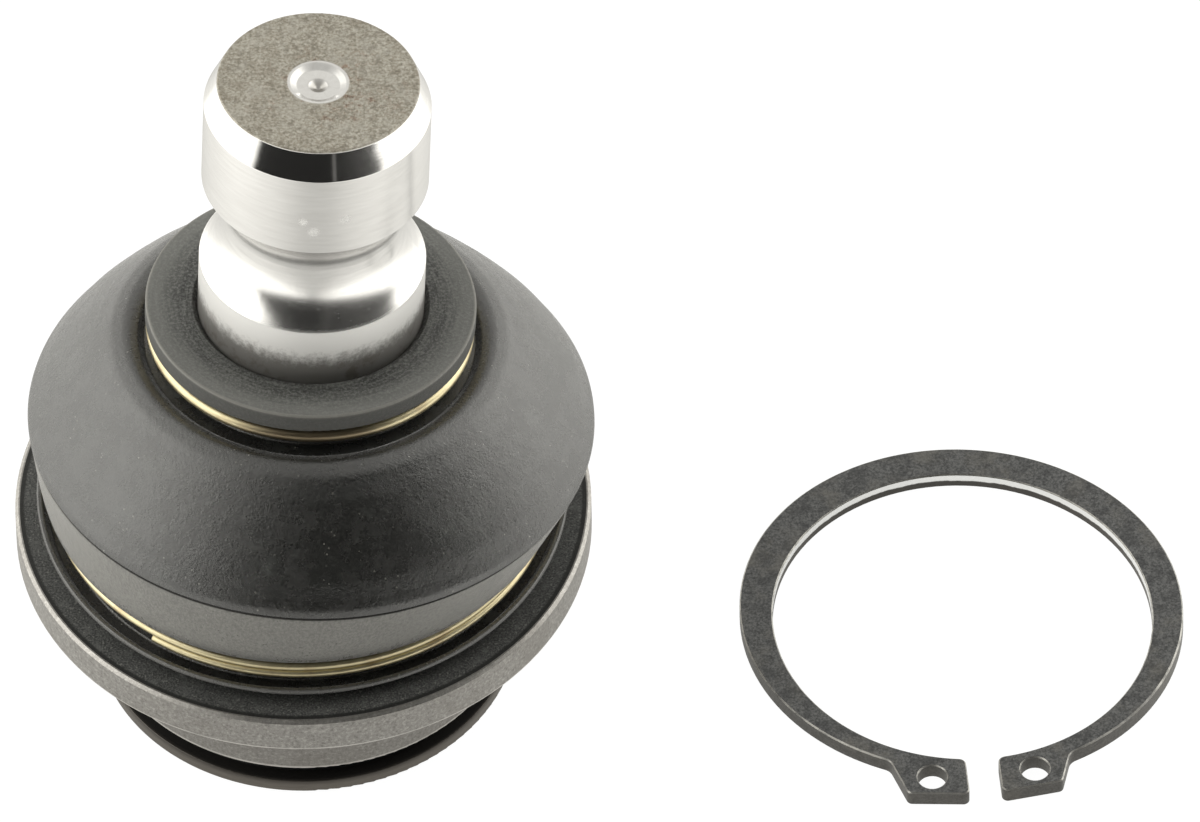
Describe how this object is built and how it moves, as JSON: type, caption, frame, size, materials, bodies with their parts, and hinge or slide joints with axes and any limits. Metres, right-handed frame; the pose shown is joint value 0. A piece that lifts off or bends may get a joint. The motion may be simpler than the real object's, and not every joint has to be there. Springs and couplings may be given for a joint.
{
  "type": "suspension ball joint",
  "caption": "Press-in suspension ball joint with a grooved clamp stud, domed rubber dust boot held by wire rings, flanged housing and a loose circlip beside it.",
  "frame": {"origin": "on the housing axis, in the plane of the housing's bottom ring, which the part stands on", "axes": "+Z along the housing's axis, out of its mouth (the stud leans 6.2 degrees from it at rest, towards +X and +Y); +X towards the loose circlip; -Y is the side the picture is taken from"},
  "size_m": [0.1116, 0.0556, 0.0747],
  "materials": {
    "housing_steel": "phosphated and machined steel, satin",
    "stud_steel": "ground steel",
    "bearing_plastic": "acetal",
    "spring_steel": "blued spring steel",
    "cap_steel": "pressed steel, zinc flake",
    "collar_black": "hard rubber, finely turned",
    "boot_rubber": "semi-matte rubber",
    "ring_brass": "brassed spring wire",
    "circlip_steel": "phosphated spring steel"
  },
  "bodies": {
    "housing_body": {"housing": "housing_steel", "upper_bearing_seat": "bearing_plastic", "lower_bearing_seat": "bearing_plastic", "preload_disc_spring": "spring_steel", "end_cap": "cap_steel", "boot_lower_ring": "ring_brass"},
    "boot_body": {"dust_boot": "boot_rubber"},
    "collar_body": {"boot_collar": "collar_black", "boot_upper_ring": "ring_brass"},
    "stud_body": {"ball_stud": "stud_steel"},
    "circlip_body": {"circlip": "circlip_steel"}
  },
  "joints": [
    {"name": "tilt_direction", "type": "hinge", "parent": "housing_body", "child": "boot_body", "pos_m": [0, 0, 0.017], "axis": [0, 0, 1], "continuous": true},
    {"name": "stud_tilt", "type": "hinge", "parent": "boot_body", "child": "collar_body", "pos_m": [0, 0, 0.017], "axis": [-0.9048, 0.4258, 0], "range_deg": [-30.2, 17.8], "deforming": ["dust_boot"]},
    {"name": "stud_spin", "type": "hinge", "parent": "collar_body", "child": "stud_body", "pos_m": [0, 0, 0.017], "axis": [0.046, 0.0977, 0.9942], "continuous": true},
    {"name": "circlip_lift", "type": "slide", "parent": "housing_body", "child": "circlip_body", "axis": [0, 0, 1], "range_m": [0, 0.06]}
  ]
}
